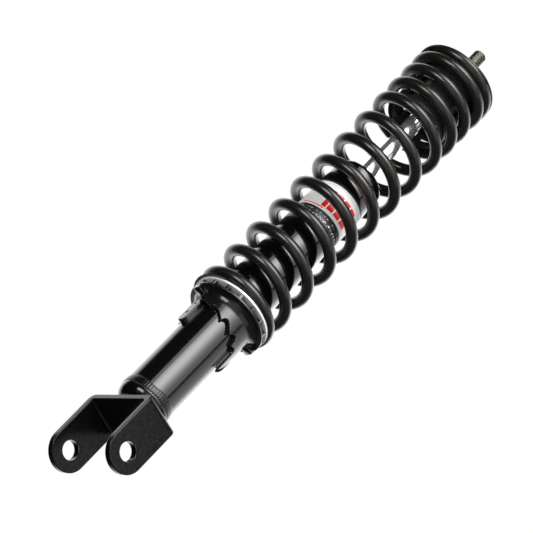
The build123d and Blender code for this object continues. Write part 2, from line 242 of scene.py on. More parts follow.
# ---- finishes -------------------------------------------------------------------------------------
class Groups:
    """Shader node groups shared by the finishes. They give only masks, values and normals."""

    @staticmethod
    def _new(name: str, inputs: Sequence[tuple[str, str, float]], outputs: Sequence[tuple[str, str]]):
        """Makes an empty group with its sockets.

        Args:
            name: the group's name.
            inputs: title, socket type and default value of each input.
            outputs: title and socket type of each output.

        Returns:
            The group, its input node and its output node.
        """
        group = bpy.data.node_groups.new(name, "ShaderNodeTree")
        for title, kind, value in inputs:
            socket = group.interface.new_socket(title, in_out="INPUT", socket_type=kind)
            if kind == "NodeSocketFloat":
                socket.default_value = value
        for title, kind in outputs:
            group.interface.new_socket(title, in_out="OUTPUT", socket_type=kind)
        return group, group.nodes.new("NodeGroupInput"), group.nodes.new("NodeGroupOutput")

    @staticmethod
    def grain() -> bpy.types.NodeTree:
        """Fine grain over broad mottling: a value from 0 to 1, and the normal that the grain gives."""
        if "Grain" in bpy.data.node_groups:
            return bpy.data.node_groups["Grain"]
        group, given, out = Groups._new(
            "Grain",
            [
                ("Vector", "NodeSocketVector", 0), ("Scale", "NodeSocketFloat", 900),
                ("Depth", "NodeSocketFloat", 0.1),
            ],
            [("Value", "NodeSocketFloat"), ("Mottle", "NodeSocketFloat"), ("Normal", "NodeSocketVector")],
        )
        link = group.links.new
        fine = group.nodes.new("ShaderNodeTexNoise")
        fine.inputs["Detail"].default_value = 4
        broad = group.nodes.new("ShaderNodeTexNoise")
        broad.inputs["Scale"].default_value = 70
        broad.inputs["Detail"].default_value = 3
        bump = group.nodes.new("ShaderNodeBump")
        bump.inputs["Distance"].default_value = 0.0002
        link(given.outputs["Vector"], fine.inputs["Vector"])
        link(given.outputs["Scale"], fine.inputs["Scale"])
        link(given.outputs["Vector"], broad.inputs["Vector"])
        link(fine.outputs["Fac"], bump.inputs["Height"])
        link(given.outputs["Depth"], bump.inputs["Strength"])
        link(fine.outputs["Fac"], out.inputs["Value"])
        link(broad.outputs["Fac"], out.inputs["Mottle"])
        link(bump.outputs["Normal"], out.inputs["Normal"])
        return group

    @staticmethod
    def wear_and_highlight() -> bpy.types.NodeTree:
        """Mask of worn edges and of painted highlights on rounded edges: places where a rounded normal leaves
        the true one, broken up by noise.
        """
        if "Edge_wear_and_highlight" in bpy.data.node_groups:
            return bpy.data.node_groups["Edge_wear_and_highlight"]
        group, given, out = Groups._new(
            "Edge_wear_and_highlight",
            [("Vector", "NodeSocketVector", 0), ("Amount", "NodeSocketFloat", 0.5)],
            [("Mask", "NodeSocketFloat")],
        )
        link = group.links.new
        shape = group.nodes.new("ShaderNodeNewGeometry")
        rounded = group.nodes.new("ShaderNodeBevel")
        rounded.samples = 4
        rounded.inputs["Radius"].default_value = 0.0006
        agree = group.nodes.new("ShaderNodeVectorMath")
        agree.operation = "DOT_PRODUCT"
        link(shape.outputs["Normal"], agree.inputs[0])
        link(rounded.outputs["Normal"], agree.inputs[1])
        edge = group.nodes.new("ShaderNodeMapRange")
        edge.inputs["From Min"].default_value = 0.995
        edge.inputs["From Max"].default_value = 0.90
        noise = group.nodes.new("ShaderNodeTexNoise")
        noise.inputs["Scale"].default_value = 420
        noise.inputs["Detail"].default_value = 5
        broken = group.nodes.new("ShaderNodeMapRange")
        broken.inputs["From Min"].default_value = 0.42
        broken.inputs["From Max"].default_value = 0.62
        product = group.nodes.new("ShaderNodeMath")
        product.operation = "MULTIPLY"
        scaled = group.nodes.new("ShaderNodeMath")
        scaled.operation = "MULTIPLY"
        link(agree.outputs["Value"], edge.inputs["Value"])
        link(given.outputs["Vector"], noise.inputs["Vector"])
        link(noise.outputs["Fac"], broken.inputs["Value"])
        link(edge.outputs["Result"], product.inputs[0])
        link(broken.outputs["Result"], product.inputs[1])
        link(product.outputs[0], scaled.inputs[0])
        link(given.outputs["Amount"], scaled.inputs[1])
        link(scaled.outputs[0], out.inputs["Mask"])
        return group


@dataclass(frozen=True)
class Finish:
    """One procedural finish: a base colour, a lighter colour on the edges that is partly wear and partly a
    painted highlight, and grain in the roughness.
    """

    name: str
    base: tuple[float, float, float]
    shade: tuple[float, float, float]
    worn_and_lit_edge: tuple[float, float, float]
    roughness: tuple[float, float] = (0.2, 0.3)
    metallic: float = 0.0
    wear_and_highlight: float = 0.4
    scale: float = 900.0
    depth: float = 0.1
    coat: float = 0.0
    specular: float = 0.5
    stretch: tuple[float, float, float] = (1.0, 1.0, 1.0)

    def material(self) -> bpy.types.Material:
        """Makes the material, or finds it where it is already made.

        Returns:
            The material.
        """
        if self.name in bpy.data.materials:
            return bpy.data.materials[self.name]
        made = bpy.data.materials.new(self.name)
        made.use_nodes = True
        nodes, link = made.node_tree.nodes, made.node_tree.links.new
        shader = nodes["Principled BSDF"]
        shader.inputs["Metallic"].default_value = self.metallic
        shader.inputs["Coat Weight"].default_value = self.coat
        shader.inputs["Coat Roughness"].default_value = 0.06
        shader.inputs["Specular IOR Level"].default_value = self.specular
        place = nodes.new("ShaderNodeTexCoord")
        mapping = nodes.new("ShaderNodeMapping")
        mapping.inputs["Scale"].default_value = self.stretch
        link(place.outputs["Object"], mapping.inputs["Vector"])
        grain = nodes.new("ShaderNodeGroup")
        grain.node_tree = Groups.grain()
        grain.inputs["Scale"].default_value = self.scale
        grain.inputs["Depth"].default_value = self.depth
        wear_and_highlight = nodes.new("ShaderNodeGroup")
        wear_and_highlight.node_tree = Groups.wear_and_highlight()
        wear_and_highlight.inputs["Amount"].default_value = self.wear_and_highlight
        link(mapping.outputs["Vector"], grain.inputs["Vector"])
        link(mapping.outputs["Vector"], wear_and_highlight.inputs["Vector"])
        tone = nodes.new("ShaderNodeMix")
        tone.data_type = "RGBA"
        tone.inputs["A"].default_value = (*self.base, 1)
        tone.inputs["B"].default_value = (*self.shade, 1)
        link(grain.outputs["Mottle"], tone.inputs["Factor"])
        # edges get a lighter colour through the edge mask: partly wear, partly a painted highlight where
        # rounded edges catch light
        edged = nodes.new("ShaderNodeMix")
        edged.data_type = "RGBA"
        edged.inputs["B"].default_value = (*self.worn_and_lit_edge, 1)
        link(tone.outputs["Result"], edged.inputs["A"])
        link(wear_and_highlight.outputs["Mask"], edged.inputs["Factor"])
        link(edged.outputs["Result"], shader.inputs["Base Color"])
        rough = nodes.new("ShaderNodeMapRange")
        rough.inputs["From Min"].default_value = 0.3
        rough.inputs["From Max"].default_value = 0.7
        rough.inputs["To Min"].default_value = self.roughness[0]
        rough.inputs["To Max"].default_value = self.roughness[1]
        link(grain.outputs["Value"], rough.inputs["Value"])
        link(rough.outputs["Result"], shader.inputs["Roughness"])
        link(grain.outputs["Normal"], shader.inputs["Normal"])
        return made

    def dress(self, piece: bpy.types.Object) -> None:
        """Puts the finish on every face of a piece."""
        piece.data.materials.clear()
        piece.data.materials.append(self.material())


# the clevis's strong, pale edge colour is partly wear and partly a painted highlight on its rounded edges
CLEVIS_PAINT = Finish("clevis_gloss_black", (0.0022, 0.0021, 0.002), (0.0045, 0.0042, 0.0038),
                      (0.24, 0.24, 0.23), (0.12, 0.24), wear_and_highlight=0.9, scale=450, depth=0.16, specular=0.45)
TUBE_PAINT = Finish("tube_gloss_black", (0.0025, 0.0025, 0.0025), (0.004, 0.0038, 0.0035), (0.08, 0.08, 0.08),
                    (0.09, 0.17), wear_and_highlight=0.3, scale=700, depth=0.05, coat=0.6, specular=0.6)
WELD_PAINT = Finish("weld_gloss_black", (0.003, 0.003, 0.003), (0.006, 0.006, 0.005), (0.08, 0.08, 0.08),
                    (0.14, 0.26), wear_and_highlight=0.2, scale=320, depth=0.3, coat=0.3, specular=0.4)
SPRING_PAINT = Finish("spring_black_powder", (0.007, 0.0066, 0.0055), (0.012, 0.0112, 0.009),
                      (0.06, 0.058, 0.05), (0.19, 0.29), wear_and_highlight=0.3, scale=1100, depth=0.10, specular=0.9)
COLLAR_ZINC = Finish("collar_black_zinc", (0.004, 0.004, 0.0038), (0.008, 0.008, 0.0075), (0.22, 0.22, 0.21),
                     (0.14, 0.26), wear_and_highlight=0.7, scale=900, depth=0.12, coat=0.4, specular=0.6)
BRIGHT_ZINC = Finish("washer_bright_zinc", (0.88, 0.88, 0.87), (0.80, 0.81, 0.82), (0.95, 0.95, 0.94),
                     (0.30, 0.42), metallic=0.25, wear_and_highlight=0.2, scale=1500, depth=0.06)
CHROME = Finish("rod_hard_chrome", (0.86, 0.86, 0.87), (0.80, 0.80, 0.81), (0.90, 0.90, 0.90),
                (0.10, 0.16), metallic=0.85, wear_and_highlight=0.0, scale=1500, depth=0.02, stretch=(1, 1, 0.1))
STUD_STEEL = Finish("stud_zinc_steel", (0.50, 0.47, 0.40), (0.36, 0.34, 0.30), (0.75, 0.73, 0.68),
                    (0.22, 0.36), metallic=1.0, wear_and_highlight=0.6, scale=1500, depth=0.10)
SLEEVE_PLASTIC = Finish("sleeve_black_plastic", (0.012, 0.012, 0.012), (0.02, 0.02, 0.019), (0.06, 0.06, 0.06),
                        (0.30, 0.45), wear_and_highlight=0.3, scale=1400, depth=0.15)
RUBBER = Finish("seal_black_rubber", (0.015, 0.015, 0.015), (0.026, 0.026, 0.025), (0.07, 0.07, 0.07),
                (0.5, 0.7), wear_and_highlight=0.3, scale=1600, depth=0.2)
FOAM = Finish("bump_stop_foam", (0.10, 0.095, 0.08), (0.16, 0.15, 0.13), (0.22, 0.21, 0.19),
              (0.6, 0.85), wear_and_highlight=0.3, scale=2400, depth=0.4)
STEEL = Finish("machined_steel", (0.42, 0.42, 0.43), (0.50, 0.50, 0.50), (0.70, 0.70, 0.70),
               (0.22, 0.36), metallic=1.0, wear_and_highlight=0.5, scale=1500, depth=0.08, stretch=(1, 1, 6))
SINTER = Finish("sintered_steel", (0.22, 0.22, 0.22), (0.32, 0.31, 0.30), (0.55, 0.55, 0.54),
                (0.42, 0.6), metallic=0.9, wear_and_highlight=0.5, scale=2600, depth=0.3)
BRONZE = Finish("bush_lining", (0.42, 0.27, 0.12), (0.30, 0.19, 0.09), (0.65, 0.45, 0.22),
                (0.3, 0.45), metallic=1.0, wear_and_highlight=0.4, scale=1600, depth=0.1)
RING_PLASTIC = Finish("piston_ring_plastic", (0.10, 0.07, 0.05), (0.14, 0.10, 0.07), (0.25, 0.19, 0.14),
                      (0.35, 0.5), wear_and_highlight=0.3, scale=1500, depth=0.1)

CAD_FINISHES: dict[str, Finish] = {
    "clevis_fork": CLEVIS_PAINT, "tube_base_cup": TUBE_PAINT, "damper_tube": TUBE_PAINT,
    "preload_lugs": COLLAR_ZINC, "pressure_tube": STEEL, "base_valve": SINTER, "base_valve_disc": STEEL,
    "base_valve_rivet": STEEL, "rod_guide": SINTER, "guide_bush": BRONZE, "oil_seal": RUBBER,
    "gland_cap": STEEL, "dust_wiper": RUBBER, "thrust_washer": BRIGHT_ZINC, "piston": SINTER,
    "piston_ring": RING_PLASTIC, "rebound_shims": STEEL, "compression_shims": STEEL, "piston_nut": STEEL,
    "rebound_stop": RUBBER, "rebound_stop_clip": STEEL, "bump_stop": FOAM, "bump_stop_washer": STEEL,
    "spring_guide_sleeve": SLEEVE_PLASTIC, "upper_spring_seat": CLEVIS_PAINT,
}


# ---- spring ---------------------------------------------------------------------------------------
@dataclass(frozen=True)
class CoilSpring:
    """Left-hand progressive coil, in two pieces that meet at a split turn.

    A point of the wire at turn t and wire angle w lies at the mean radius plus wire_radius * cos(w) from the
    axis, and at rise(t) plus wire_radius * sin(w), tilted by the lead angle. Heights past the ground planes
    are laid flat on them.
    """

    radius: float = 22.9 * MM
    wire_radius: float = 3.45 * MM
    foot: float = 119.9 * MM
    top: float = 333.3 * MM
    split_turn: float = 1.5
    solid_pitch: float = 7.2
    rise: tuple[tuple[float, float], ...] = (
        (-0.90, 118.0), (-0.60, 119.6), (-0.30, 121.6), (0.0, 124.1), (0.25, 127.2), (0.5, 131.6),
        (0.75, 136.7), (1.0, 142.1), (2.0, 162.5), (3.0, 183.7), (4.0, 204.2), (5.0, 224.9),
        (6.0, 245.5), (7.0, 265.9), (8.0, 285.4), (9.0, 300.1), (10.0, 313.1), (10.75, 323.4),
        (11.17, 326.9), (11.6, 329.6), (12.0, 333.0), (12.17, 334.4),
    )
    steps_per_turn: int = 96
    wire_steps: int = 40

    def share(self, turns: np.ndarray) -> np.ndarray:
        """How far the coil has closed at each turn: the pitch above the solid pitch, summed from the start."""
        heights = smooth_curve(self.rise, turns)
        gap = np.maximum(np.diff(heights) - self.solid_pitch * np.diff(turns), 0)
        total = np.concatenate([[0], np.cumsum(gap)])
        return total / total[-1]

    def stretch(self, name: str, first: float, last: float) -> tuple[bpy.types.Object, np.ndarray]:
        """Makes the wire between two turns.

        Args:
            name: the piece's name.
            first: the turn that it starts at.
            last: the turn that it ends at.

        Returns:
            The object, and the share of closing at each of its points.
        """
        turns = np.linspace(first, last, round((last - first) * self.steps_per_turn) + 1)
        height = smooth_curve(self.rise, turns) * MM
        angle = FACING - TURN * turns
        lead = np.gradient(height, turns) / (TURN * self.radius)
        tilt = np.arctan(lead)
        out = np.stack([np.cos(angle), np.sin(angle), 0 * angle], axis=-1)
        along = np.stack([np.sin(angle) * np.cos(tilt), -np.cos(angle) * np.cos(tilt), np.sin(tilt)], axis=-1)
        up = np.cross(along, out)
        up *= np.sign(up[:, 2:])
        centre = out * self.radius + np.stack([0 * height, 0 * height, height], axis=-1)
        wire = np.linspace(0, TURN, self.wire_steps, endpoint=False)[None, ::-1, None]
        grid = centre[:, None] + self.wire_radius * (np.cos(wire) * out[:, None] + np.sin(wire) * up[:, None])
        grid[..., 2] = np.clip(grid[..., 2], self.foot, self.top)
        made = Surface(name).add(grid).build(sharp_degrees=50)
        return made, np.repeat(self.share(turns), self.wire_steps)

    def build(self) -> list[bpy.types.Object]:
        """Makes and dresses both pieces."""
        first, last = self.rise[0][0], self.rise[-1][0]
        lower, lower_share = self.stretch("spring_lower_turns", first, self.split_turn)
        upper, upper_share = self.stretch("spring_upper_turns", self.split_turn, last)
        middle = smooth_curve(self.rise, np.array([self.split_turn]))[0] * MM
        ends = ((lower, Body.WASHER, Body.DAMPER, self.foot, middle, lower_share),
                (upper, Body.DAMPER, Body.ROD, middle, self.top, upper_share))
        for piece, below, above, start, end, share in ends:
            SPRING_PAINT.dress(piece)
            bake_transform(piece)
            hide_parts("coil_spring")
        return [lower, upper]


# ---- rod ------------------------------------------------------------------------------------------
@dataclass(frozen=True)
class PistonRod:
    """Chromed rod and the threaded stud above it, as two turned surfaces.

    The thread's radius is the major radius less the depth times a triangle wave of height / pitch less the
    share of a turn, clipped flat at the crest and the root.
    """

    radius: float = 5.0 * MM
    foot: float = 168.5 * MM
    shoulder: float = 333.5 * MM
    spigot_radius: float = 3.5 * MM
    spigot_top: float = 188.5 * MM
    stud_radius: float = 4.0 * MM
    tip: float = 360.6 * MM
    pitch: float = 1.25 * MM
    depth: float = 0.72 * MM
    chamfer: float = 0.8 * MM
    runout: float = 2.2 * MM
    rows_per_pitch: int = 14
    columns: int = 72

    def rod(self) -> bpy.types.Object:
        """The plain rod, up to the shoulder under the seat, with its piston spigot and clip groove."""
        groove_foot, groove_top, groove = 208.0 * MM, 209.4 * MM, 0.6 * MM
        profile = np.array([
            (0.2 * MM, self.foot), (self.spigot_radius, self.foot), (self.spigot_radius, self.spigot_top),
            (self.radius, self.spigot_top), (self.radius, groove_foot), (self.radius - groove, groove_foot),
            (self.radius - groove, groove_top), (self.radius, groove_top), (self.radius, self.shoulder),
            (0.2 * MM, self.shoulder),
        ])
        return Surface("piston_rod_chrome").add(turned(profile, self.columns)).build()

    def stud(self) -> bpy.types.Object:
        """The threaded stud, with a chamfered tip and a short runout above the seat."""
        start = self.shoulder - 0.5 * MM
        rows = round((self.tip - start) / self.pitch * self.rows_per_pitch)
        heights = np.linspace(start, self.tip, rows)
        body = np.stack([np.full(rows, self.stud_radius), heights], axis=-1)
        profile = np.vstack([[(0.2 * MM, start)], body, [(0.2 * MM, self.tip)]])

        def thread(angle, radius, height):
            """Cuts a groove that runs once round in each pitch, and fades out at the shank."""
            phase = (height / self.pitch - angle / TURN) % 1.0
            wave = np.clip(np.abs(phase - 0.5) * 2.6 - 0.2, 0, 1)
            fade = np.clip((height - self.shoulder - self.runout) / self.pitch, 0, 1)
            cut = self.depth * wave * fade
            limit = self.stud_radius - self.chamfer + np.maximum(self.tip - height, 0)
            wanted = np.minimum(self.stud_radius - cut, limit)
            side = radius > self.stud_radius / 2
            return np.where(side, wanted - radius, 0.0), 0 * height

        return Surface("stud_thread").add(turned(profile, self.columns, thread)).build(sharp_degrees=80)

    def build(self) -> list[bpy.types.Object]:
        """Makes and dresses the rod and the stud."""
        rod, stud = self.rod(), self.stud()
        CHROME.dress(rod)
        STUD_STEEL.dress(stud)
        for piece in (rod, stud):
            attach(piece, Body.ROD.value)
            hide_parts("piston_rod")
        return [rod, stud]


# ---- collar ---------------------------------------------------------------------------------------
@dataclass(frozen=True)
class CamCollar:
    """Preload collar: one closed section carried round the axis, whose lower edge follows the stepped cam.

    The cam repeats half a turn on, but its long stop tooth stands on one side only. The flange above it
    carries upright ribs with open windows between them.
    """

    bore: float = 16.0 * MM
    radius: float = 18.5 * MM
    top: float = 118.3 * MM
    flange: float = 24.4 * MM
    flange_foot: float = 114.2 * MM
    plate: float = 1.2 * MM
    flare_out: float = 3.6 * MM
    flare_rise: float = 5.8 * MM
    rounding: float = 0.35 * MM
    ribs: int = 16
    rib_depth: float = 4.5 * MM
    rib_width: float = 1.8 * MM
    tab_foot: float = 111.2 * MM
    tab_radius: float = 24.2 * MM
    tab_width: float = 6.0 * MM
    lug_angle: float = math.radians(-96.0)
    tab_angle: float = math.radians(78.0)
    cam: tuple[tuple[float, float], ...] = (
        (-15.0, 102.0), (-12.5, 105.2), (-8.0, 107.1), (8.0, 107.1), (18.0, 106.2), (26.0, 105.0),
        (32.0, 104.3), (36.0, 105.6), (43.0, 105.8), (50.0, 104.8), (58.0, 102.9), (65.0, 101.0),
        (69.0, 103.3), (75.0, 103.9), (82.0, 102.6), (90.0, 100.2), (95.0, 98.6), (100.0, 101.1),
        (107.0, 101.8), (113.0, 99.4), (118.0, 96.6), (121.0, 97.6), (127.0, 97.4), (131.6, 96.0),
        (132.4, 82.5), (138.0, 85.2), (147.0, 91.0), (156.0, 97.0), (165.0, 102.0),
    )
    tooth: float = 132.0
    columns: int = 1080

    def edge(self, angle: np.ndarray) -> np.ndarray:
        """Height of the cam edge at angles about Z, softened over a degree or so."""
        first = self.cam[0][0]
        x, y = np.array(self.cam).T
        spread = np.linspace(-0.9, 0.9, 7)
        place = (np.degrees(angle - self.lug_angle)[..., None] + spread - first) % 360.0
        height = np.interp(place % 180.0 + first, x, y)
        far_end = (place > 180.0) & (place % 180.0 + first > self.tooth)
        return np.where(far_end, self.cam[0][1], height).mean(axis=-1) * MM

    def body(self) -> np.ndarray:
        """The sleeve and flange as one ring-shaped grid, with its section's corners rounded."""
        angle = np.linspace(0, TURN, self.columns, endpoint=False)[None, :]
        edge = self.edge(angle)
        r, plate_top = self.rounding, self.flange_foot + self.plate
        corner = [(1.0, 0.0), (0.38, 0.08), (0.08, 0.38), (0.0, 1.0)]
        section: list[tuple] = []
        section += [(self.bore + a * r, edge + b * r) for a, b in reversed(corner)]
        section += [(self.radius - a * r, edge + b * r) for a, b in corner]
        section += [(self.radius, edge + r * 2)]
        for t in np.linspace(0, math.pi / 2, 9):
            flare = self.radius + self.flare_out * (1 - math.cos(t))
            section.append((flare, self.flange_foot - self.flare_rise * (1 - math.sin(t))))
        section += [(self.flange - a * r, self.flange_foot + b * r) for a, b in corner]
        section += [(self.flange - a * r, plate_top - b * r) for a, b in reversed(corner)]
        section += [(self.radius + r, plate_top), (self.radius, plate_top + r)]
        section += [(self.radius - a * r, self.top - b * r) for a, b in reversed(corner)]
        section += [(self.bore + a * r, self.top - b * r) for a, b in corner]
        rows = [
            np.stack([radius * np.cos(angle), radius * np.sin(angle), height + 0 * angle], axis=-1)[0]
            for radius, height in section
        ]
        return np.stack(rows)

    def build(self) -> list[bpy.types.Object]:
        """Makes and dresses the collar."""
        surface = Surface("cam_collar_shell").add(self.body(), closed_rows=True)
        foot = self.flange_foot + self.plate - 0.2 * MM
        rib = (self.rib_depth, self.rib_width, self.top - foot)
        rib_centre = (self.flange - 0.2 * MM - self.rib_depth / 2, 0, (foot + self.top) / 2)
        for i in range(self.ribs):
            turn = FACING - math.radians(5.0) + TURN * i / self.ribs
            surface.add(rounded_box(rib_centre, rib, turn, 0.25 * MM))
        sunk = 0.6 * MM
        reach, drop = self.tab_radius - self.radius, self.flange_foot - self.tab_foot
        tab = (reach + sunk, self.tab_width, drop + sunk)
        tab_centre = ((self.radius + self.tab_radius) / 2 - sunk / 2, 0, (self.tab_foot + self.flange_foot) / 2)
        for half_turn in (0.0, math.pi):
            surface.add(rounded_box(tab_centre, tab, self.tab_angle + half_turn, 0.6 * MM))
        collar = surface.build(sharp_degrees=40)
        COLLAR_ZINC.dress(collar)
        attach(collar, Body.COLLAR.value)
        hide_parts("cam_collar")
        return [collar]


# ---- welds ----------------------------------------------------------------------------------------
@dataclass(frozen=True)
class WeldBead:
    """A rippled weld: a half-round section turned about the axis, swelling and sinking with each pass.

    The section's size is scaled by one plus a fraction of a rectified sine of the angle, and it wanders in
    height by a slower sine.
    """

    name: str
    node: str
    radius: float
    height: float
    width: float
    proud: float
    ripples: int
    swelling: float = 0.28
    unevenness: float = 0.08
    wandering: float = 0.12
    columns: int = 540

    def build(self) -> list[bpy.types.Object]:
        """Makes and dresses the bead."""
        section = np.linspace(0, TURN, 20, endpoint=False)
        profile = np.stack([
            self.radius + self.proud * np.cos(section), self.height + self.width / 2 * np.sin(section)
        ], axis=-1)

        def ripple(angle, radius, height):
            """Swells the section with each pass, and lets the whole bead wander up and down."""
            passes = self.swelling * np.abs(np.sin(self.ripples * angle / 2))
            swell = passes + self.unevenness * np.sin(5 * angle + 1.3)
            wander = self.wandering * self.width * np.sin(3 * angle + 0.4)
            return (radius - self.radius) * swell, (height - self.height) * swell + wander

        bead = Surface(self.name).add(turned(profile, self.columns, ripple), closed_rows=True).build(60)
        WELD_PAINT.dress(bead)
        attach(bead, Body.DAMPER.value)
        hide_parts(self.node)
        return [bead]


# ---- label ----------------------------------------------------------------------------------------
@dataclass(frozen=True)
class Label:
    """Printed film on the tube: a thin closed band over part of a turn, with plain bars and blocks on it."""

    radius: float = 15.7 * MM
    thickness: float = 0.12 * MM
    foot: float = 186.0 * MM
    top: float = 220.0 * MM
    arc: float = math.radians(250.0)
    steps: int = 180
    # the print's places, in millimetres up the strut and along the arc
    white: tuple[float, float] = (198.5, 218.5)
    marks: tuple[float, float] = (188.5, 196.5)
    block_rows: tuple[float, float] = (200.8, 214.0)
    blocks: tuple[tuple[float, float], ...] = ((-6.2, 2.8), (-2.6, 4.2), (2.6, 4.6), (8.2, 5.4))
    line_rows: tuple[float, float] = (199.4, 200.2)
    line_ends: tuple[float, float] = (-18.0, -4.0)

    def band(self) -> bpy.types.Object:
        """The film, with a map of arc length and height in millimetres on its corners."""
        angle = FACING + np.linspace(-self.arc / 2, self.arc / 2, self.steps)
        inner, outer = self.radius + 0.005 * MM, self.radius + self.thickness
        section = [(inner, self.foot), (outer, self.foot)]
        section += [(outer, z) for z in np.linspace(self.foot, self.top, 12)[1:]]
        section += [(inner, self.top)]
        section = section[::-1]
        grid = np.stack([
            np.stack([r * np.cos(angle), r * np.sin(angle), z + 0 * angle], axis=-1) for r, z in section
        ], axis=1)
        made = Surface("label_film").add(grid).build()
        mesh = made.data
        places = np.empty(len(mesh.vertices) * 3)
        mesh.vertices.foreach_get("co", places)
        places = places.reshape(-1, 3)
        along = (np.arctan2(places[:, 1], places[:, 0]) - FACING + math.pi) % TURN - math.pi
        corner = np.empty(len(mesh.loops), dtype=np.int32)
        mesh.loops.foreach_get("vertex_index", corner)
        flat = np.stack([along * self.radius / MM, places[:, 2] / MM], axis=-1)[corner]
        mesh.uv_layers.new(name="UVMap").data.foreach_set("uv", flat.astype(np.float32).ravel())
        return made

    @staticmethod
    def between(nodes, link, value, low: float, high: float):
        """A mask that is 1 where a value lies between two limits."""
        centre = nodes.new("ShaderNodeMath")
        centre.operation = "COMPARE"
        centre.inputs[1].default_value = (low + high) / 2
        centre.inputs[2].default_value = (high - low) / 2
        link(value, centre.inputs[0])
        return centre.outputs[0]

    @staticmethod
    def both(nodes, link, first, second, operation: str = "MULTIPLY"):
        """Two masks joined by an operation."""
        joined = nodes.new("ShaderNodeMath")
        joined.operation = operation
        link(first, joined.inputs[0])
        link(second, joined.inputs[1])
        return joined.outputs[0]

    def material(self) -> bpy.types.Material:
        """Print: a black foot with small pale marks, a white band above it, and red blocks on the band."""
        made = bpy.data.materials.new("label_print")
        made.use_nodes = True
        nodes, link = made.node_tree.nodes, made.node_tree.links.new
        shader = nodes["Principled BSDF"]
        shader.inputs["Coat Weight"].default_value = 0.1
        place = nodes.new("ShaderNodeUVMap")
        place.uv_map = "UVMap"
        split = nodes.new("ShaderNodeSeparateXYZ")
        link(place.outputs["UV"], split.inputs[0])
        across, up = split.outputs["X"], split.outputs["Y"]
        white = self.between(nodes, link, up, *self.white)
        marks = nodes.new("ShaderNodeTexNoise")
        marks.inputs["Scale"].default_value = 0.9
        marks.inputs["Detail"].default_value = 2
        link(place.outputs["UV"], marks.inputs["Vector"])
        speck = nodes.new("ShaderNodeMath")
        speck.operation = "GREATER_THAN"
        speck.inputs[1].default_value = 0.56
        link(marks.outputs["Fac"], speck.inputs[0])
        rows = nodes.new("ShaderNodeMath")
        rows.operation = "PINGPONG"
        rows.inputs[1].default_value = 1.6
        link(up, rows.inputs[0])
        line = nodes.new("ShaderNodeMath")
        line.operation = "GREATER_THAN"
        line.inputs[1].default_value = 0.9
        link(rows.outputs[0], line.inputs[0])
        small = self.both(nodes, link, speck.outputs[0], line.outputs[0])
        small = self.both(nodes, link, small, self.between(nodes, link, up, *self.marks))
        blocks = None
        for left, width in self.blocks:
            block = self.between(nodes, link, across, left, left + width)
            blocks = block if blocks is None else self.both(nodes, link, blocks, block, "MAXIMUM")
        red = self.both(nodes, link, blocks, self.between(nodes, link, up, *self.block_rows))
        line_row = self.between(nodes, link, up, *self.line_rows)
        stripe = self.both(nodes, link, line_row, self.between(nodes, link, across, *self.line_ends))
        red = self.both(nodes, link, red, stripe, "MAXIMUM")
        base = nodes.new("ShaderNodeMix")
        base.data_type = "RGBA"
        base.inputs["A"].default_value = (0.02, 0.02, 0.02, 1)
        base.inputs["B"].default_value = (0.82, 0.82, 0.80, 1)
        link(self.both(nodes, link, white, small, "MAXIMUM"), base.inputs["Factor"])
        inked = nodes.new("ShaderNodeMix")
        inked.data_type = "RGBA"
        inked.inputs["B"].default_value = (0.80, 0.006, 0.005, 1)
        link(base.outputs["Result"], inked.inputs["A"])
        link(red, inked.inputs["Factor"])
        link(inked.outputs["Result"], shader.inputs["Base Color"])
        position = nodes.new("ShaderNodeTexCoord")
        grain = nodes.new("ShaderNodeGroup")
        grain.node_tree = Groups.grain()
        grain.inputs["Depth"].default_value = 0.05
        link(position.outputs["Object"], grain.inputs["Vector"])
        rough = nodes.new("ShaderNodeMapRange")
        rough.inputs["To Min"].default_value = 0.25
        rough.inputs["To Max"].default_value = 0.45
        link(grain.outputs["Value"], rough.inputs["Value"])
        link(rough.outputs["Result"], shader.inputs["Roughness"])
        link(grain.outputs["Normal"], shader.inputs["Normal"])
        return made

    def build(self) -> list[bpy.types.Object]:
        """Makes and dresses the label."""
        band = self.band()
        band.data.materials.append(self.material())
        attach(band, Body.DAMPER.value)
        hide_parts("label_band")
        return [band]


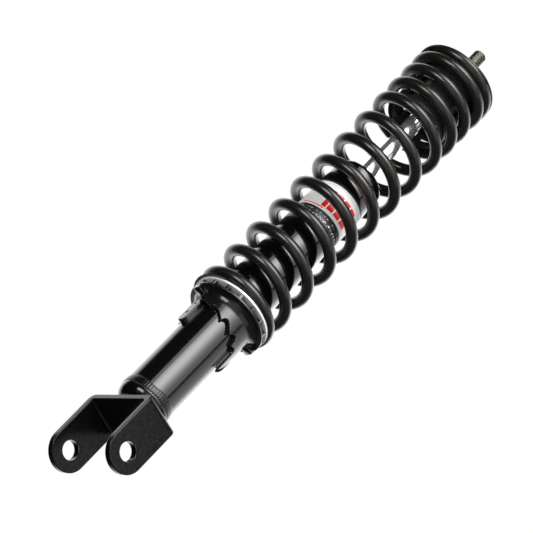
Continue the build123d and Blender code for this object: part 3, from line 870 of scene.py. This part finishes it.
# ---- studio ---------------------------------------------------------------------------------------
@dataclass(frozen=True)
class Studio:
    """Camera, floor, lamps and surroundings. The strut leans away from the lens, seen from its clevis end."""

    lens: float = 264.0
    sensor: float = 36.0
    bore_from_camera: tuple[float, float, float] = (-90.449 * MM, -98.257 * MM, -2082.572 * MM)
    lean: float = math.radians(45.811)
    tilt: float = math.radians(31.267)
    spin: float = math.radians(63.365)
    floor_gap: float = 1.0 * MM
    floor_size: float = 4.0
    panel: float = 12.5
    backdrop: float = 1.6
    tent: float = 0.55

    def axes(self) -> Matrix:
        """The strut's axes as columns, in the camera's own space."""
        lean_x, lean_y = math.cos(self.lean), math.sin(self.lean)
        along = Vector((
            math.cos(self.tilt) * lean_x, math.cos(self.tilt) * lean_y, -math.sin(self.tilt),
        ))
        side = Vector((math.sin(self.lean), -math.cos(self.lean), 0))
        near = Vector((
            math.sin(self.tilt) * lean_x, math.sin(self.tilt) * lean_y, math.cos(self.tilt),
        ))
        across = math.cos(self.spin) * side + math.sin(self.spin) * near
        return Matrix((across, along.cross(across), along)).transposed()

    def camera(self) -> Matrix:
        """Makes the camera, and returns its rotation in the strut's frame."""
        turn = self.axes().transposed()
        data = bpy.data.cameras.new("camera")
        data.lens, data.sensor_width = self.lens, self.sensor
        data.clip_end = 50
        made = bpy.data.objects.new("camera", data)
        place = -(turn @ Vector(self.bore_from_camera))
        made.matrix_world = Matrix.LocRotScale(place, turn.to_quaternion(), None)
        bpy.context.scene.collection.objects.link(made)
        bpy.context.scene.camera = made
        return turn

    def floor(self) -> None:
        """A pale floor just under the clevis, clear when it is looked at from below."""
        half = self.floor_size / 2
        level = CAD_BOX[0].z - self.floor_gap
        mesh = bpy.data.meshes.new("floor")
        corners = [(-half, -half, level), (half, -half, level), (half, half, level), (-half, half, level)]
        mesh.from_pydata(corners, [], [tuple(range(len(corners)))])
        made = bpy.data.objects.new("floor", mesh)
        paint = bpy.data.materials.new("floor_pale")
        paint.use_nodes = True
        nodes, link = paint.node_tree.nodes, paint.node_tree.links.new
        shader = nodes["Principled BSDF"]
        shader.inputs["Base Color"].default_value = (0.86, 0.86, 0.86, 1)
        shader.inputs["Roughness"].default_value = 0.7
        side = nodes.new("ShaderNodeNewGeometry")
        clear = nodes.new("ShaderNodeBsdfTransparent")
        either = nodes.new("ShaderNodeMixShader")
        ray = nodes.new("ShaderNodeLightPath")
        other = nodes.new("ShaderNodeMath")
        other.operation = "SUBTRACT"
        other.inputs[0].default_value = 1
        hidden = nodes.new("ShaderNodeMath")
        hidden.operation = "MAXIMUM"
        link(ray.outputs["Is Camera Ray"], other.inputs[1])
        link(other.outputs[0], hidden.inputs[0])
        link(side.outputs["Backfacing"], hidden.inputs[1])
        link(hidden.outputs[0], either.inputs["Fac"])
        link(shader.outputs["BSDF"], either.inputs[1])
        link(clear.outputs["BSDF"], either.inputs[2])
        link(either.outputs["Shader"], nodes["Material Output"].inputs["Surface"])
        mesh.materials.append(paint)
        bpy.context.scene.collection.objects.link(made)
        made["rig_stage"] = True

    def lamp(self, name: str, turn: Matrix, place: tuple, size: float, power: float) -> None:
        """A square soft lamp, placed in the camera's space and aimed at the middle of the strut."""
        data = bpy.data.lights.new(name, "AREA")
        data.energy, data.size = power, size
        made = bpy.data.objects.new(name, data)
        target = (CAD_BOX[0] + CAD_BOX[1]) / 2
        made.location = target + turn @ Vector(place)
        made.rotation_mode = "QUATERNION"
        made.rotation_quaternion = (target - made.location).to_track_quat("-Z", "Y")
        bpy.context.scene.collection.objects.link(made)
        made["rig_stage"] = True

    @staticmethod
    def product(nodes, link, first, second):
        """The product of two values."""
        times = nodes.new("ShaderNodeMath")
        times.operation = "MULTIPLY"
        link(first, times.inputs[0])
        link(second, times.inputs[1])
        return times.outputs[0]

    def surroundings(self, turn: Matrix) -> None:
        """White behind the strut, and panels and black flags round it that only reflections see."""
        world = bpy.data.worlds.new("studio")
        bpy.context.scene.world = world
        world.use_nodes = True
        nodes, link = world.node_tree.nodes, world.node_tree.links.new
        background = nodes["Background"]
        where = nodes.new("ShaderNodeTexCoord")
        split = nodes.new("ShaderNodeSeparateXYZ")
        link(where.outputs["Generated"], split.inputs[0])
        around = nodes.new("ShaderNodeMath")
        around.operation = "ARCTAN2"
        link(split.outputs["Y"], around.inputs[0])
        link(split.outputs["X"], around.inputs[1])
        share = nodes.new("ShaderNodeMath")
        share.operation = "MULTIPLY_ADD"
        share.inputs[1].default_value = 1 / TURN
        share.inputs[2].default_value = 0.5 - FACING / TURN
        link(around.outputs[0], share.inputs[0])
        wrapped = nodes.new("ShaderNodeMath")
        wrapped.operation = "FRACT"
        link(share.outputs[0], wrapped.inputs[0])
        panels = nodes.new("ShaderNodeValToRGB")
        # degrees from the camera's side of the strut, and the brightness seen there
        stops = (
            (-180, 0.0), (-92, 0.0), (-40, 0.0), (-36, 0.22), (-33, 0.05), (-28, 0.18),
            (-24, 0.34), (-10, 0.56), (4, 0.52), (16, 0.32), (28, 0.17), (40, 0.10), (50, 0.08), (54, 0.005),
            (62, 0.005), (66, 0.06), (105, 0.09), (125, 0.06),
        )
        ramp = panels.color_ramp
        ramp.elements[0].position, ramp.elements[1].position = 0.0, 1.0
        while len(ramp.elements) < len(stops) + 1:
            ramp.elements.new(0.5)
        for element, (degrees, value) in zip(ramp.elements, (*stops, (180, stops[0][1]))):
            element.position = 0.5 + degrees / 360
            element.color = (value, value, value, 1)
        link(wrapped.outputs[0], panels.inputs["Fac"])
        level = None
        # the panels' lower and upper ends, as the height of a direction
        for start, end in ((0.16, 0.38), (0.86, 0.62)):
            fade = nodes.new("ShaderNodeMapRange")
            fade.interpolation_type = "SMOOTHSTEP"
            fade.inputs["From Min"].default_value = start
            fade.inputs["From Max"].default_value = end
            fade.inputs["To Min"].default_value = 0.07
            link(split.outputs["Z"], fade.inputs["Value"])
            share_up = fade.outputs["Result"]
            level = share_up if level is None else self.product(nodes, link, level, share_up)
        front = self.product(nodes, link, panels.outputs["Color"], level)
        behind = nodes.new("ShaderNodeVectorMath")
        behind.operation = "DOT_PRODUCT"
        behind.inputs[1].default_value = turn @ Vector((0, 0, 1))
        link(where.outputs["Generated"], behind.inputs[0])
        sweep = nodes.new("ShaderNodeMapRange")
        sweep.interpolation_type = "SMOOTHSTEP"
        sweep.inputs["From Min"].default_value = -0.44
        sweep.inputs["From Max"].default_value = -0.76
        sweep.inputs["To Max"].default_value = self.backdrop
        link(behind.outputs["Value"], sweep.inputs["Value"])
        bright = nodes.new("ShaderNodeMath")
        bright.operation = "MULTIPLY_ADD"
        bright.inputs[1].default_value = self.panel
        link(front, bright.inputs[0])
        link(sweep.outputs["Result"], bright.inputs[2])
        ray = nodes.new("ShaderNodeLightPath")
        # matt surfaces are lit evenly as well, as by a white tent
        tent = nodes.new("ShaderNodeMath")
        tent.operation = "MULTIPLY_ADD"
        tent.inputs[1].default_value = self.tent
        link(ray.outputs["Is Diffuse Ray"], tent.inputs[0])
        link(bright.outputs[0], tent.inputs[2])
        shown = nodes.new("ShaderNodeMix")
        shown.data_type = "RGBA"
        shown.inputs["B"].default_value = (1, 1, 1, 1)
        link(ray.outputs["Is Camera Ray"], shown.inputs["Factor"])
        link(tent.outputs[0], shown.inputs["A"])
        link(shown.outputs["Result"], background.inputs["Color"])

    def build(self) -> None:
        """Makes the studio."""
        bpy.context.scene.view_settings.view_transform = "Standard"
        turn = self.camera()
        self.floor()
        self.surroundings(turn)
        self.lamp("key", turn, (-0.5, 0.6, 0.9), 0.5, 4.0)
        self.lamp("fill", turn, (0.8, -0.3, 0.7), 0.9, 1.0)


def dress_solids() -> list[bpy.types.Object]:
    """Puts a finish on every solid that keeps its own shape."""
    dressed = []
    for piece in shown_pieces():
        node = piece.get("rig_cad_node")
        if node in CAD_FINISHES:
            CAD_FINISHES[node].dress(piece)
            dressed.append(piece)
    return dressed


def main() -> None:
    """Builds every sub-assembly, then the studio, and reports the pieces."""
    logging.basicConfig(level=logging.INFO, format="%(name)s: %(message)s")
    parts = (
        CoilSpring(),
        PistonRod(),
        CamCollar(),
        WeldBead("cup_foot_weld", "clevis_weld_bead", 10.6 * MM, 33.0 * MM, 2.4 * MM, 1.5 * MM, 44),
        WeldBead("tube_seam_weld", "seam_weld_bead", 15.6 * MM, 42.7 * MM, 4.4 * MM, 0.32 * MM, 60),
        Label(),
    )
    for part in parts:
        for piece in part.build():
            LOG.info("%s: %d faces", piece.name, len(piece.data.polygons))
    for piece in dress_solids():
        LOG.info("%s keeps its solid", piece.name)
    Studio().build()


if __name__ == "__main__":
    main()
